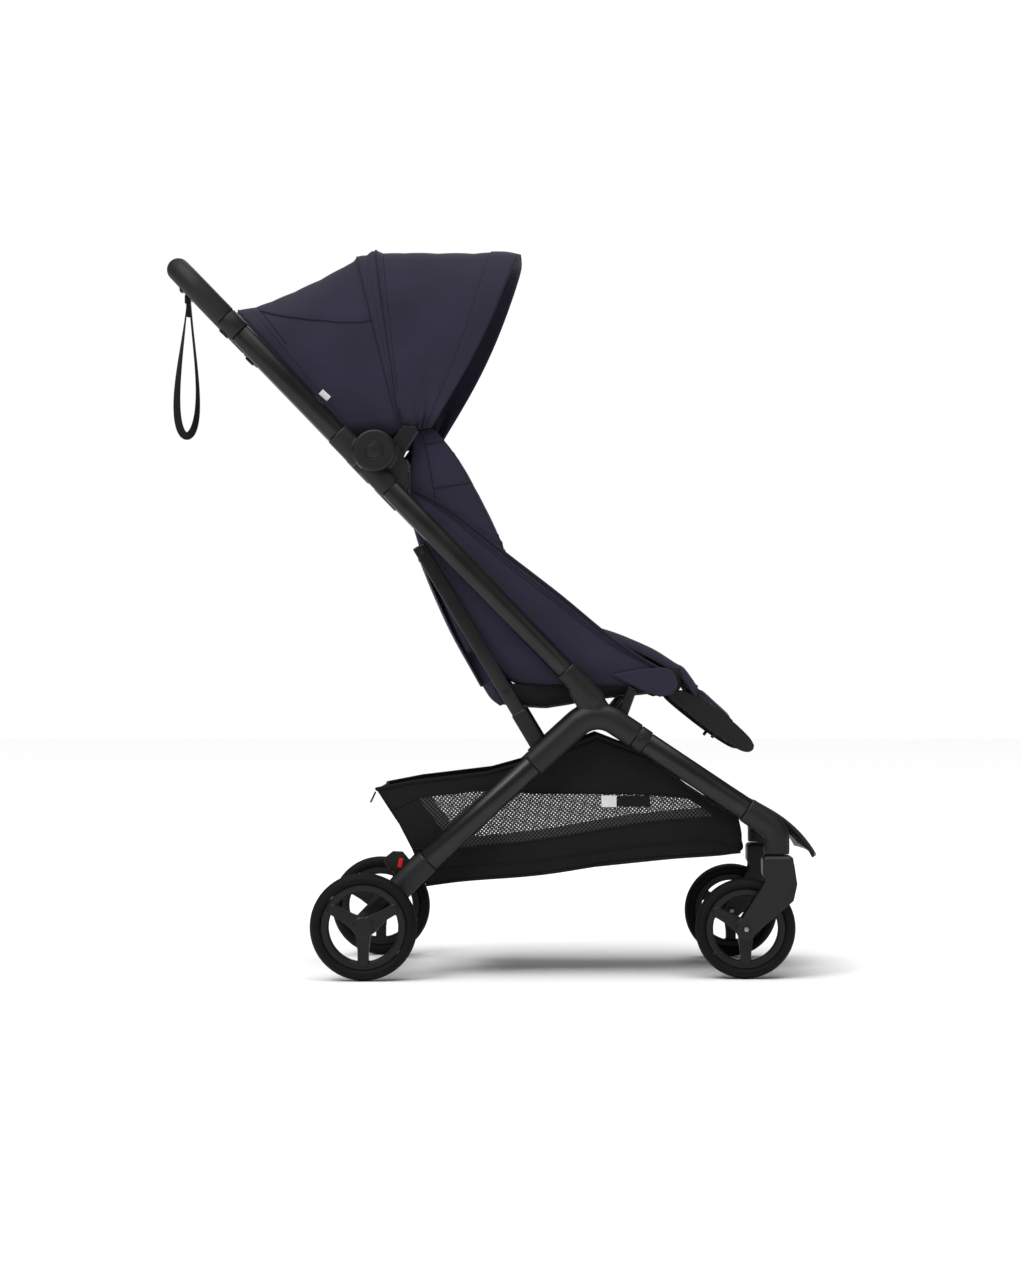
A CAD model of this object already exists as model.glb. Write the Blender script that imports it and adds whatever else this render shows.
"""The looks of a compact folding baby stroller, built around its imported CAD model.

Metres, +X to the front, +Y to the left, +Z up, as in the CAD. The side view is set out as points
(x, z), and each piece is made where the CAD solid that it stands for is.
"""

import math

import bmesh
import bpy
import numpy as np
from mathutils import Matrix, Vector


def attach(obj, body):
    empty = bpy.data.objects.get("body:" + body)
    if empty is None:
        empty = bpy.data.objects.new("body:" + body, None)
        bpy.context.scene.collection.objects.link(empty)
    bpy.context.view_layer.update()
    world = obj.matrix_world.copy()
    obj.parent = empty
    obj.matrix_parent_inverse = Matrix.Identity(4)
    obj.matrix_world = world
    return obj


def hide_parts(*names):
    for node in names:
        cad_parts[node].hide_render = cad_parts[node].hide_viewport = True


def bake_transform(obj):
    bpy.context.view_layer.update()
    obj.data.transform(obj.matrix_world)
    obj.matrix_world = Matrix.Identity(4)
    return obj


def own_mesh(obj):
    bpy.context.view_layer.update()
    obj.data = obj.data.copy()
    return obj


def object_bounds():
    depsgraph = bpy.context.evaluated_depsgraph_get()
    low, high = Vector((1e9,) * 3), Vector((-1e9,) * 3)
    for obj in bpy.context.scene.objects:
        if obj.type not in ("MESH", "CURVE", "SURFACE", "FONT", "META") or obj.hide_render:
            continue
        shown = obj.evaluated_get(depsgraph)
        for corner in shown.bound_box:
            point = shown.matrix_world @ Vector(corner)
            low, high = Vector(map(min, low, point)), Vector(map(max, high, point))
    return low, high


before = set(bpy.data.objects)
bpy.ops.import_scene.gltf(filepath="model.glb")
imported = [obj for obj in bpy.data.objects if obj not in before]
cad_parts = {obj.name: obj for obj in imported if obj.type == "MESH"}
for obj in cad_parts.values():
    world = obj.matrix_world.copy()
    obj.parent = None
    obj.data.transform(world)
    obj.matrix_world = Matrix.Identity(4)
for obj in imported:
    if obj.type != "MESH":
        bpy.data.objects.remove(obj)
CAD_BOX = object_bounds()
SIDES = (("left", 1.0), ("right", -1.0))

# Side frames, as in the CAD
SIDE_Y = 0.178
GAP = 0.0003
TUBE_R = 0.015
LEG_R = 0.0165
FLAT = 0.72
REAR_LEG_LOW = (-0.0953, 0.1702)
REAR_LEG_TOP = (0.0569, 0.3095)
FRONT_LEG_TOP = (0.2066, 0.3515)
FRONT_LEG_LOW = (0.3663, 0.245)
SEAT_TUBE_LOW = (0.1037, 0.4472)
SEAT_TUBE_LENGTH = 0.366
STRUT_LOW = (0.0671, 0.3336)
STRUT_TOP = (-0.11, 0.6288)
HINGE_ALONG = 0.4205
HINGE_OFFSET = 0.0215
HINGE_R = 0.0307
HANDLE_TUBE_START = 0.477
HANDLE_TUBE_END = 0.68
COLLAR_LENGTH = 0.03
GRIP_R = 0.017
GRIP_X = CAD_BOX[0][0] + GRIP_R
GRIP_Z = 1.03
STRAP_Y = -0.12
SWIVEL_X = 0.4102
SWIVEL_Z = 0.18
VOXEL = 0.0013  # fine enough to keep a casting's edges crisp

# Wheels
REAR_R = 0.0775
FRONT_R = 0.0728
REAR_WHEEL_Y = 0.2105
REAR_TREAD = 0.028
FRONT_TREAD = 0.026
REAR_AXLE = (-0.187, REAR_R)
FRONT_AXLE = (0.365, FRONT_R)
RIM_SHARE = 0.8
SPOKES = (90.0, 210.0, 330.0)

# Seat, canopy and basket
RECLINE = (0.03, 0.46)
BACK_TOP = (-0.105, 0.8)
LEG_REST_PIVOT = (0.2725, 0.41)
LEG_REST_TIP = (0.3755, 0.334)
CANOPY_PIVOT = (-0.135, 0.784)
CANOPY_HALF = 0.158
BASKET_HALF = 0.1455
CLOTH = 0.0022


# ---------------------------------------------------------------- geometry


def unit(a, b):
    length = math.hypot(b[0] - a[0], b[1] - a[1])
    return ((b[0] - a[0]) / length, (b[1] - a[1]) / length)


def along(a, b, distance):
    d = unit(a, b)
    return (a[0] + d[0] * distance, a[1] + d[1] * distance)


def meet(a, b, c, d):
    """Where the line through a and b crosses the line through c and d."""
    u, v = unit(a, b), unit(c, d)
    reach = ((c[0] - a[0]) * v[1] - (c[1] - a[1]) * v[0]) / (u[0] * v[1] - u[1] * v[0])
    return along(a, b, reach)


def on_tube_line(distance):
    return along(SEAT_TUBE_LOW, (GRIP_X, GRIP_Z), distance)


def hinge_centre():
    foot = on_tube_line(HINGE_ALONG)
    d = unit(SEAT_TUBE_LOW, foot)
    return (foot[0] + d[1] * HINGE_OFFSET, foot[1] - d[0] * HINGE_OFFSET)


def at_y(points, y):
    return [(x, y, z) for x, z in points]


def round_about(at, radius, turn):
    return (at[0] + radius * math.cos(turn), at[1] + radius * math.sin(turn))


def rounded(points, radius, steps=14):
    """The points of a path with each inner corner turned into an arc of that radius."""
    path = [Vector(points[0])]
    for before, corner, after in zip(points, points[1:], points[2:]):
        before, corner, after = Vector(before), Vector(corner), Vector(after)
        u, v = (before - corner).normalized(), (after - corner).normalized()
        half = u.angle(v) / 2
        reach = radius / math.tan(half)
        middle = corner + (u + v).normalized() * (radius / math.sin(half))
        start, end = corner + u * reach - middle, corner + v * reach - middle
        turn = start.rotation_difference(end)
        for i in range(steps + 1):
            arc = start.copy()
            arc.rotate(turn.__class__().slerp(turn, i / steps))
            path.append(middle + arc)
    path.append(Vector(points[-1]))
    return path


def smooth_path(points, count):
    """Evenly spread points on a smooth curve through the given ones."""
    p = np.array(points, float)
    padded = np.vstack([2 * p[0] - p[1], p, 2 * p[-1] - p[-2]])
    out = []
    for t in np.linspace(0, len(p) - 1, count):
        i = min(int(t), len(p) - 2)
        f = t - i
        a, b, c, d = padded[i : i + 4]
        out.append(0.5 * (2 * b + (c - a) * f + (2 * a - 5 * b + 4 * c - d) * f**2
                          + (3 * b - a - 3 * c + d) * f**3))
    return np.array(out)


def curve_between(top, bulge, tip, t):
    return top * (1 - t) ** 2 + bulge * (2 * t * (1 - t)) + tip * t**2


def add(mesh):
    mesh.shade_smooth()
    thing = bpy.data.objects.new("piece", mesh)
    bpy.context.scene.collection.objects.link(thing)
    return thing


def piece(points, faces):
    mesh = bpy.data.meshes.new("piece")
    mesh.from_pydata([tuple(p) for p in points], [], faces)
    mesh.validate()
    bm = bmesh.new()
    bm.from_mesh(mesh)
    bmesh.ops.remove_doubles(bm, verts=bm.verts, dist=1e-6)
    bmesh.ops.recalc_face_normals(bm, faces=bm.faces)
    bm.to_mesh(mesh)
    bm.free()
    return add(mesh)


def grid(rows, around=False, caps=False):
    """A surface through rows of points. A row may close on itself, and the ends may be capped."""
    rows = np.array(rows, float)
    n, m = rows.shape[:2]
    faces = []
    for i in range(n - 1):
        for j in range(m if around else m - 1):
            k = (j + 1) % m
            faces.append((i * m + j, i * m + k, (i + 1) * m + k, (i + 1) * m + j))
    if caps:
        faces.append(tuple(range(m - 1, -1, -1)))
        faces.append(tuple((n - 1) * m + j for j in range(m)))
    return piece(rows.reshape(-1, 3), faces)


def sweep(path, wide, flat=1.0, count=28, end=0.0012):
    """A round or oval bar along a path, with softened ends. flat squeezes it along Y."""
    path = [Vector(p) for p in path]
    first, last = (path[1] - path[0]).normalized(), (path[-1] - path[-2]).normalized()
    path = ([path[0], path[0] + first * end * 0.3, path[0] + first * end] + path[1:-1]
            + [path[-1] - last * end, path[-1] - last * end * 0.3, path[-1]])
    ends = [1 - end / wide, 1 - end * 0.3 / wide]
    scale = ends + [1.0] * (len(path) - 4) + ends[::-1]
    rows = []
    side = Vector((0.0, 1.0, 0.0))
    for i, at in enumerate(path):
        tangent = (path[min(i + 1, len(path) - 1)] - path[max(i - 1, 0)]).normalized()
        side = (side - tangent * side.dot(tangent)).normalized()
        other = tangent.cross(side)
        turns = [2 * math.pi * j / count for j in range(count)]
        rows.append([at + (other * math.cos(a) + side * math.sin(a) * flat) * wide * scale[i]
                     for a in turns])
    return grid(rows, around=True, caps=True)


def lathe(profile, at, y, count=96):
    """A closed profile of points (radius, offset along Y), turned about an axle."""
    rows = []
    for i in range(count + 1):
        turn = 2 * math.pi * i / count
        rows.append([(at[0] + r * math.cos(turn), y + o, at[1] + r * math.sin(turn))
                     for r, o in profile])
    return grid(rows, around=True)


def disc(radius, at, y_one, y_two, edge=0.0015, count=64):
    """A solid drum along Y with softened edges."""
    low, high = sorted((y_one, y_two))
    rows = []
    for r, y in ((radius - edge, low), (radius - edge * 0.3, low + edge * 0.3),
                 (radius, low + edge), (radius, high - edge),
                 (radius - edge * 0.3, high - edge * 0.3), (radius - edge, high)):
        ring = [round_about(at, r, 2 * math.pi * j / count) for j in range(count)]
        rows.append(at_y(ring, y))
    return grid(rows, around=True, caps=True)


def slab(outline, y_one, y_two):
    """A flat outline of points (x, z), given a thickness along Y."""
    low, high = sorted((y_one, y_two))
    n = len(outline)
    faces = [tuple(range(n)), tuple(range(2 * n - 1, n - 1, -1))]
    faces += [(i, (i + 1) % n, n + (i + 1) % n, n + i) for i in range(n)]
    return piece(at_y(outline, low) + at_y(outline, high), faces)


def brick(size, at, slope=0.0, bevel=0.002, segments=4):
    """A block with rounded edges, turned about Y by a slope in degrees."""
    bm = bmesh.new()
    bmesh.ops.create_cube(bm, size=1.0, matrix=Matrix.Diagonal((*size, 1.0)))
    bmesh.ops.bevel(bm, geom=bm.edges, offset=bevel, segments=segments, affect="EDGES",
                    profile=0.5)
    turn = Matrix.Rotation(math.radians(slope), 4, "Y")
    bmesh.ops.transform(bm, matrix=Matrix.Translation(at) @ turn, verts=bm.verts)
    mesh = bpy.data.meshes.new("piece")
    bm.to_mesh(mesh)
    bm.free()
    return add(mesh)


def modify(thing, kind, **settings):
    step = thing.modifiers.new(kind.lower(), kind)
    for key, value in settings.items():
        setattr(step, key, value)
    return step


def settle(thing):
    """The object's modifiers applied to its mesh."""
    bpy.context.view_layer.update()
    depsgraph = bpy.context.evaluated_depsgraph_get()
    mesh = bpy.data.meshes.new_from_object(thing.evaluated_get(depsgraph))
    thing.modifiers.clear()
    thing.data = mesh
    mesh.shade_smooth()
    return thing


def thicken(thing, thickness, offset=0.0):
    modify(thing, "SOLIDIFY", thickness=thickness, offset=offset)
    return settle(thing)


def merge(things):
    """One object from several, with their materials kept."""
    materials, bm = [], bmesh.new()
    for thing in things:
        start = len(bm.faces)
        shift = []
        for m in thing.data.materials:
            if m not in materials:
                materials.append(m)
            shift.append(materials.index(m))
        bm.from_mesh(thing.data)
        bm.faces.ensure_lookup_table()
        for f in bm.faces[start:]:
            f.material_index = shift[f.material_index] if shift else 0
    mesh = bpy.data.meshes.new("piece")
    bm.to_mesh(mesh)
    bm.free()
    for m in materials:
        mesh.materials.append(m)
    for thing in things:
        bpy.data.objects.remove(thing)
    return add(mesh)


def cast(things, voxel=VOXEL, rounds=6):
    """Solids run together as in one casting, with soft inside corners."""
    made = merge(things)
    modify(made, "REMESH", mode="VOXEL", voxel_size=voxel)
    modify(made, "SMOOTH", iterations=rounds, factor=0.5)
    return settle(made)


def refine(thing):
    modify(thing, "SUBSURF", levels=1, render_levels=1)
    return settle(thing)


def puff(thing, pressure, cap, voxel=0.006, last=14):
    """Blow a pad up as cloth, with each point held within a cap of where it began."""
    modify(thing, "REMESH", mode="VOXEL", voxel_size=voxel)
    settle(thing)
    start = np.array([v.co for v in thing.data.vertices])
    cloth = thing.modifiers.new("cloth", "CLOTH").settings
    cloth.use_pressure = True
    cloth.uniform_pressure_force = pressure
    cloth.effector_weights.gravity = 0.0
    cloth.mass = 0.15
    cloth.tension_stiffness = 25.0
    cloth.bending_stiffness = 0.8
    for step in range(1, last + 1):
        bpy.context.scene.frame_set(step)
    settle(thing)
    bpy.context.scene.frame_set(1)
    moved = np.array([v.co for v in thing.data.vertices]) - start
    length = np.linalg.norm(moved, axis=1, keepdims=True)
    moved *= np.minimum(1.0, cap / np.maximum(length, 1e-9))
    for v, co in zip(thing.data.vertices, start + moved):
        v.co = co
    return refine(thing)


# ---------------------------------------------------------------- materials

NOISE, WAVE = "ShaderNodeTexNoise", "ShaderNodeTexWave"


def texture(tree, kind, scale, **settings):
    """A procedural texture in the object's own metres."""
    coordinates = tree.nodes.new("ShaderNodeTexCoord")
    made = tree.nodes.new(kind)
    made.inputs["Scale"].default_value = scale
    for key, value in settings.items():
        if key in made.inputs:
            made.inputs[key].default_value = value
        else:
            setattr(made, key, value)
    tree.links.new(coordinates.outputs["Object"], made.inputs["Vector"])
    return made.outputs["Fac"]


def finish(name, colour, roughness, inputs, cloud=None, shades=None, spread=None, bumps=()):
    """A procedural material. cloud is the scale and detail of a noise that varies the colour
    between two shades of it and the roughness by a spread. bumps add up, one over another."""
    made = bpy.data.materials.new(name)
    made.use_nodes = True
    tree = made.node_tree
    bsdf = tree.nodes["Principled BSDF"]
    bsdf.inputs["Base Color"].default_value = (*colour, 1.0)
    bsdf.inputs["Roughness"].default_value = roughness
    for key, value in inputs.items():
        bsdf.inputs[key].default_value = value
    if cloud:
        noise = texture(tree, NOISE, cloud[0], Detail=cloud[1])
        ramp = tree.nodes.new("ShaderNodeValToRGB")
        for end, position, share in zip(ramp.color_ramp.elements, (0.3, 0.7), shades):
            end.position = position
            end.color = (*(c * share for c in colour), 1.0)
        tree.links.new(noise, ramp.inputs["Fac"])
        tree.links.new(ramp.outputs["Color"], bsdf.inputs["Base Color"])
    if spread:
        rough = tree.nodes.new("ShaderNodeMapRange")
        rough.inputs["To Min"].default_value = roughness - spread
        rough.inputs["To Max"].default_value = roughness + spread
        tree.links.new(noise, rough.inputs["Value"])
        tree.links.new(rough.outputs["Result"], bsdf.inputs["Roughness"])
    normal = None
    for kind, scale, settings, distance, strength in bumps:
        bump = tree.nodes.new("ShaderNodeBump")
        bump.inputs["Distance"].default_value = distance
        bump.inputs["Strength"].default_value = strength
        tree.links.new(texture(tree, kind, scale, **settings), bump.inputs["Height"])
        if normal:
            tree.links.new(normal, bump.inputs["Normal"])
        normal = bump.outputs["Normal"]
    if normal:
        tree.links.new(normal, bsdf.inputs["Normal"])
    return made


def cloth_material(name, colour, sheen=0.06, weave=0.00012):
    """A close twill weave with slight unevenness in its colour and its lie."""
    inputs = {"Sheen Weight": sheen, "Sheen Roughness": 0.4, "Specular IOR Level": 0.18}
    bumps = [(WAVE, 420.0, {"bands_direction": "DIAGONAL"}, weave, 0.35),
             (WAVE, 380.0, {"bands_direction": "Z"}, weave, 0.35),
             (NOISE, 35.0, {"Detail": 3.0}, 0.0012, 0.25)]
    return finish(name, colour, 0.82, inputs, (14.0, 5.0), (0.86, 1.16), None, bumps)


def plastic_material(name, colour, roughness, grain=900.0, depth=0.00006):
    """Moulded plastic with a fine grain."""
    return finish(name, colour, roughness, {"Specular IOR Level": 0.28}, (18.0, 4.0), (0.85, 1.18),
                  0.06, [(NOISE, grain, {"Detail": 2.0}, depth, 0.25)])


def metal_material(name, colour, roughness):
    """Anodised aluminium or steel with a film of wear."""
    return finish(name, colour, roughness, {"Metallic": 0.75}, (30.0, 6.0), (0.9, 1.12), 0.05,
                  [(NOISE, 1600.0, {"Detail": 1.0}, 0.000004, 0.04)])


def net_material(name, pitch, angle):
    """Open net: rows of round holes, turned by an angle, set as transparency."""
    made = finish(name, (0.016, 0.016, 0.017), 0.7, {"Sheen Weight": 0.2}, (300.0, 2.0), (0.7, 1.4))
    tree = made.node_tree
    place = tree.nodes.new("ShaderNodeTexCoord")
    split = tree.nodes.new("ShaderNodeSeparateXYZ")
    tree.links.new(place.outputs["Object"], split.inputs["Vector"])

    def calculate(operation, *values):
        node = tree.nodes.new("ShaderNodeMath")
        node.operation = operation
        for socket, value in zip(node.inputs, values):
            if isinstance(value, float):
                socket.default_value = value
            else:
                tree.links.new(value, socket)
        return node.outputs["Value"]

    waves = []
    for turn in (angle, angle + 90.0):
        turn, pace = math.radians(turn), 2 * math.pi / pitch
        across = calculate("MULTIPLY", split.outputs["X"], math.cos(turn) * pace)
        up = calculate("MULTIPLY", split.outputs["Z"], math.sin(turn) * pace)
        waves.append(calculate("SINE", calculate("ADD", across, up)))
    solid = calculate("LESS_THAN", calculate("ADD", *waves), 0.35)
    tree.links.new(solid, tree.nodes["Principled BSDF"].inputs["Alpha"])
    return made


NAVY = cloth_material("navy_weave", (0.02, 0.018, 0.034))
NAVY_DARK = cloth_material("navy_piping", (0.011, 0.01, 0.019))
BLACK_CLOTH = cloth_material("black_weave", (0.0055, 0.0055, 0.006), 0.03)
WEBBING = cloth_material("black_webbing", (0.006, 0.006, 0.007), 0.04, 0.000006)
NET_RIGHT = net_material("basket_net_right", 0.0042, 45.0)
NET_LEFT = net_material("basket_net_left", 0.003, 10.0)
PLASTIC = plastic_material("matte_plastic", (0.0075, 0.0075, 0.008), 0.45)
PLASTIC_DARK = plastic_material("deep_plastic", (0.0045, 0.0045, 0.005), 0.45)
GRIP = plastic_material("grip_foam", (0.009, 0.009, 0.009), 0.58, 1100.0, 0.00004)
METAL = metal_material("anodised_black", (0.022, 0.022, 0.023), 0.32)
STEEL = metal_material("steel", (0.3, 0.3, 0.31), 0.32)
TYRE = finish("tyre_rubber", (0.0036, 0.0036, 0.0036), 0.72, {"Specular IOR Level": 0.14},
              (60.0, 6.0), (0.8, 1.35), 0.1, [(NOISE, 60.0, {"Detail": 6.0}, 0.0003, 0.3)])
RED = plastic_material("red_mark", (0.6, 0.012, 0.012), 0.4)
TAG = cloth_material("pale_tag", (0.62, 0.62, 0.64), 0.1)


def paint(thing, *materials):
    thing.data.materials.clear()
    for m in materials:
        thing.data.materials.append(m)
    return thing


def whole(name, things):
    """One named object from painted ones, in the slot of its first material."""
    thing = merge(things) if isinstance(things, list) else things
    thing.name = name
    return thing


def place(name, things, body, *nodes):
    """A finished piece that rides on a body, in place of its CAD nodes."""
    thing = whole(name, things)
    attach(thing, body)
    if nodes:
        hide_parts(*nodes)
    return thing


# ---------------------------------------------------------------- frame


def tubes():
    parts = (
        ("seat_tube", SEAT_TUBE_LOW, on_tube_line(SEAT_TUBE_LENGTH), TUBE_R, "frame"),
        ("rear_leg", along(REAR_LEG_LOW, REAR_LEG_TOP, GAP), REAR_LEG_TOP, LEG_R, "frame"),
        ("handle_tube", on_tube_line(HANDLE_TUBE_START), on_tube_line(HANDLE_TUBE_END),
         TUBE_R + 0.0006, "handle"),
        ("front_leg", along(FRONT_LEG_TOP, FRONT_LEG_LOW, 0.0183), FRONT_LEG_LOW, LEG_R,
         "front_legs"),
    )
    for side, s in SIDES:
        for name, low, high, radius, body in parts:
            bar = sweep(at_y([low, high], s * SIDE_Y), radius, FLAT, 40)
            place(f"{name}_{side}_tube", paint(bar, METAL), body, f"{name}_{side}")


def knees():
    low = along(REAR_LEG_TOP, REAR_LEG_LOW, -GAP)
    end = along(FRONT_LEG_TOP, FRONT_LEG_LOW, -GAP)
    bend = meet(REAR_LEG_LOW, REAR_LEG_TOP, FRONT_LEG_LOW, FRONT_LEG_TOP)
    for side, s in SIDES:
        y = s * SIDE_Y
        arch = sweep(rounded(at_y([low, bend, end], y), 0.045), 0.019, FLAT, 40)
        socket = sweep(at_y([on_tube_line(-GAP), on_tube_line(-0.066)], y), 0.0172, FLAT + 0.03, 40)
        heel = sweep(at_y([on_tube_line(-0.03), (0.16, 0.372)], y), 0.02, 0.56, 32)
        made = cast([arch, socket, heel], VOXEL, 10)
        place(f"knee_casting_{side}", paint(made, PLASTIC), "frame", f"knee_{side}")


def front_leg_ends():
    corner = meet(FRONT_LEG_TOP, FRONT_LEG_LOW, (SWIVEL_X, 0.0), (SWIVEL_X, 1.0))
    start = along(FRONT_LEG_LOW, FRONT_LEG_TOP, -GAP)
    for side, s in SIDES:
        y = s * SIDE_Y
        knuckle_end = along(FRONT_LEG_TOP, FRONT_LEG_LOW, 0.018)
        knuckle = sweep(at_y([FRONT_LEG_TOP, knuckle_end], y), LEG_R + 0.0014, FLAT, 40)
        pin = disc(0.0045, along(FRONT_LEG_TOP, FRONT_LEG_LOW, 0.009), y - 0.0138, y + 0.0138)
        place(f"leg_knuckle_{side}", [paint(knuckle, PLASTIC), paint(pin, PLASTIC_DARK)],
              "front_legs", f"front_leg_knuckle_{side}")
        path = rounded(at_y([start, corner, (SWIVEL_X, SWIVEL_Z)], y), 0.026)
        bend = cast([sweep(path, LEG_R + 0.0022, FLAT + 0.1, 40)], VOXEL, 2)
        place(f"swivel_bend_{side}", paint(bend, PLASTIC), "front_legs", f"swivel_housing_{side}")


def rear_leg_ends():
    for side, s in SIDES:
        y = s * SIDE_Y
        path = [REAR_LEG_LOW, along(REAR_LEG_LOW, REAR_LEG_TOP, -0.03), REAR_AXLE]
        foot = sweep(at_y(path, y), LEG_R + 0.0018, FLAT, 40)
        boss = disc(0.0172, REAR_AXLE, y - 0.0118, y + 0.0118)
        place(f"rear_foot_{side}", paint(cast([foot, boss], VOXEL, 4), PLASTIC), "frame",
              f"rear_wheel_housing_{side}")
    reach = SIDE_Y - 0.013
    bar = disc(0.008, REAR_AXLE, -reach, reach, 0.001, 40)
    place("rear_crossbar_tube", paint(bar, METAL), "frame", "rear_crossbar")


def hinges():
    """The round fold hinge: a cap with a recessed ring and a button, over a shaped lower half."""
    centre = hinge_centre()
    for side, s in SIDES:
        y = s * SIDE_Y
        stub = sweep(at_y([on_tube_line(HANDLE_TUBE_START - GAP),
                           on_tube_line(HINGE_ALONG + 0.006)], y), TUBE_R + 0.0028, FLAT, 40)
        cap = disc(HINGE_R, centre, s * 0.1805, s * 0.1968, 0.003)
        upper = cast([stub, cap], VOXEL, 4)
        ring = lathe([(0.0132, s * 0.1963), (0.0144, s * 0.1963), (0.0144, s * 0.1976),
                      (0.0132, s * 0.1976)], centre, 0.0)
        button = disc(0.0112, centre, s * 0.196, s * 0.1977, 0.0006)
        lugs = []
        for turn in SPOKES:
            x, z = round_about(centre, 0.0122, math.radians(turn))
            lug = brick((0.003, 0.0014, 0.006), (x, s * 0.1969, z), turn, 0.0005)
            lugs.append(paint(lug, PLASTIC))
        place(f"hinge_cap_{side}", [paint(upper, PLASTIC), paint(ring, PLASTIC_DARK),
                                    paint(button, PLASTIC), *lugs],
              "handle", f"fold_hinge_cap_{side}")
        low = sweep(at_y([on_tube_line(SEAT_TUBE_LENGTH + GAP),
                          on_tube_line(HINGE_ALONG - 0.006)], y), TUBE_R + 0.0022, FLAT, 40)
        back = disc(HINGE_R + 0.001, centre, s * 0.1602, s * 0.1792, 0.003)
        wing = slab([(-0.176, 0.738), (-0.15, 0.78), (-0.139, 0.774), (-0.1295, 0.756),
                     (-0.1245, 0.736), (-0.1235, 0.716), (-0.128, 0.706), (-0.142, 0.703)],
                    s * 0.1602, s * 0.176)
        place(f"hinge_base_{side}", paint(cast([low, back, wing]), PLASTIC), "frame",
              f"fold_hinge_base_{side}")


def handle():
    """The grip goes round both corners, with a bezel and a button under it."""
    start = on_tube_line(HANDLE_TUBE_END + COLLAR_LENGTH + GAP)
    out = (GRIP_X - 0.0045, GRIP_Z + 0.0045)
    under = GRIP_Z - GRIP_R
    corners = at_y([start, out], SIDE_Y) + at_y([out, start], -SIDE_Y)
    grip = paint(sweep(rounded(corners, 0.05, 20), GRIP_R, 1.0, 48, 0.003), GRIP)
    bezel = brick((0.018, 0.056, 0.004), (GRIP_X, 0.0, under + 0.0012), 0.0, 0.0015)
    anchor = brick((0.011, 0.016, 0.014), (GRIP_X + 0.001, STRAP_Y, under - 0.003), -8.0)
    place("grip_bar", [grip, paint(bezel, PLASTIC), paint(anchor, PLASTIC_DARK)], "handle",
          "handle_grip")
    button = brick((0.0116, 0.042, 0.0088), (GRIP_X, 0.0, under - 0.0015), 0.0, 0.003)
    place("fold_button_cap", paint(button, PLASTIC_DARK), "fold_button", "fold_button")
    low, high = HANDLE_TUBE_END + GAP, HANDLE_TUBE_END + COLLAR_LENGTH
    x, z = on_tube_line((low + high) / 2)
    for side, s in SIDES:
        y = s * SIDE_Y
        collar = sweep(at_y([on_tube_line(low), on_tube_line(high)], y), TUBE_R + 0.0022, 0.88, 40)
        latch = brick((0.016, 0.01, 0.006), (x - 0.012, y, z - 0.0115), 44.0, 0.0015)
        place(f"handle_cuff_{side}", [paint(collar, PLASTIC), paint(latch, PLASTIC_DARK)],
              "handle", f"handle_collar_{side}")


def wrist_strap():
    """A loop of flat webbing, sewn together near its top, that turns its face as it opens."""
    top, bottom, half = GRIP_Z - GRIP_R - 0.0012, 0.792, 0.0225
    middle = GRIP_X + 0.009
    count = 160
    steps = []
    for i in range(count + 1):
        turn = 2 * math.pi * i / count
        drop = (1 - math.cos(turn)) / 2
        x = middle + half * math.sin(turn) * drop**1.25 + 0.002 * math.sin(turn) - 0.003 * drop
        steps.append((turn, drop, Vector((x, STRAP_Y, top + (bottom - top) * drop))))
    rows = []
    for i, (turn, drop, at) in enumerate(steps):
        tangent = (steps[min(i + 1, count)][2] - steps[max(i - 1, 0)][2]).normalized()
        inward = Vector((-tangent.z, 0.0, tangent.x))
        lean = 0.62 * drop * (0.75 - 0.55 * math.sin(turn + 0.5)) if 0 < i < count else 0.0
        across = Vector((0.0, math.cos(lean * 1.6), 0.0)) + inward * math.sin(lean * 1.6)
        through = tangent.cross(across).normalized()
        row = []
        for j in range(16):
            c, d = math.cos(2 * math.pi * j / 16), math.sin(2 * math.pi * j / 16)
            row.append(at + across * math.copysign(abs(c) ** 0.4, c) * 0.0064
                       + through * math.copysign(abs(d) ** 0.6, d) * 0.001)
        rows.append(row)
    strap = grid(rows, around=True, caps=True)
    tab = brick((0.0062, 0.0115, 0.03), (middle - 0.0005, STRAP_Y, top - 0.03), 0.0, 0.0018)
    hook = brick((0.004, 0.009, 0.012), (middle - 0.0038, STRAP_Y, top - 0.019), 0.0, 0.001)
    stitch = brick((0.0068, 0.0119, 0.0008), (middle - 0.0005, STRAP_Y, top - 0.042), 0.0, 0.0002)
    made = place("wrist_loop", [paint(strap, WEBBING), paint(tab, WEBBING), paint(hook, WEBBING),
                                paint(stitch, PLASTIC_DARK)], "handle", "wrist_strap")


def struts():
    slope = math.degrees(math.atan2(STRUT_TOP[1] - STRUT_LOW[1], STRUT_LOW[0] - STRUT_TOP[0]))
    length = math.dist(STRUT_TOP, STRUT_LOW)
    x, z = along(STRUT_LOW, STRUT_TOP, length / 2)
    shoe_x, shoe_z = along(STRUT_LOW, STRUT_TOP, 0.032)
    for side, s in SIDES:
        y = s * 0.159
        pieces = [paint(brick((length, 0.0066, 0.0205), (x, y, z), slope, 0.0022), METAL)]
        for share in (0.03, 0.28, 0.97):
            at = along(STRUT_LOW, STRUT_TOP, length * share)
            pieces.append(paint(disc(0.0046, at, s * 0.1624, s * 0.1641, 0.0006), PLASTIC_DARK))
        shoe = brick((0.06, 0.0085, 0.0235), (shoe_x, y, shoe_z), slope, 0.003)
        place(f"strut_bar_{side}", [*pieces, paint(shoe, PLASTIC)], "frame", f"seat_strut_{side}")


# ---------------------------------------------------------------- wheels


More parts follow.
